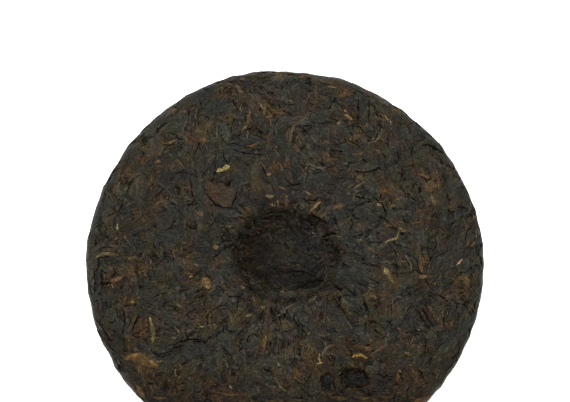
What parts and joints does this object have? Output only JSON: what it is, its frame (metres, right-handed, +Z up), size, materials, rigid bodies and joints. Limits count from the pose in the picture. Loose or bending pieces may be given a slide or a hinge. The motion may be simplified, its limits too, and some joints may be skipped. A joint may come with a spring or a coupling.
{
  "type": "ripe tea cake",
  "caption": "Round cake of dark ripe tea pressed from whole leaves, nearly flat on its back with a deep knot dimple, lying on its domed face.",
  "frame": {"origin": "on the surface that the cake lies on, under the middle of the cake", "axes": "+Z up through the middle of the cake, out of the dimple; +Y away from the viewer of the picture"},
  "size_m": [0.201, 0.2002, 0.0237],
  "materials": {
    "pressed_leaf": "matt to faintly satin dark brown-black leaf with tan, gold and red-brown tips"
  },
  "bodies": {
    "root": {"tea_cake": "pressed_leaf"}
  },
  "joints": []
}
